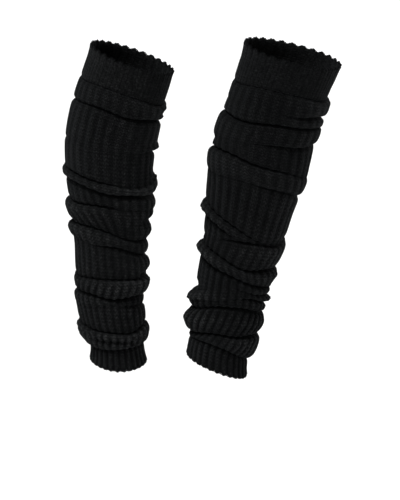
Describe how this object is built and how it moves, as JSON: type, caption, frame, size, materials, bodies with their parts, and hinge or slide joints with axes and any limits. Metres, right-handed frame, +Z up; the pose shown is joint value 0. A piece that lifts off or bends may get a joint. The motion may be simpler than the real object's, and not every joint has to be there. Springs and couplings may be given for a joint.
{
  "type": "pair of leg warmers",
  "caption": "Pair of rib-knit slouch leg warmers in their worn form, open at both ends, with scalloped tops and rolled folds down to narrow ankle cuffs.",
  "frame": {"origin": "midway between the centres of the two top openings, level with them", "axes": "+Z up along the worn warmers, +X to the viewer's right across the pair, +Y away from the viewer"},
  "size_m": [0.3102, 0.1357, 0.3885],
  "materials": {
    "rib_knit": "matt black wide-rib knit with a soft nap",
    "cuff_knit": "matt black finer knit with a cast-off edge"
  },
  "bodies": {
    "root": {"left_top_cuff": "cuff_knit", "left_leg_tube": "rib_knit", "left_ankle_cuff": "rib_knit", "right_top_cuff": "cuff_knit", "right_leg_tube": "rib_knit", "right_ankle_cuff": "rib_knit"}
  },
  "joints": []
}
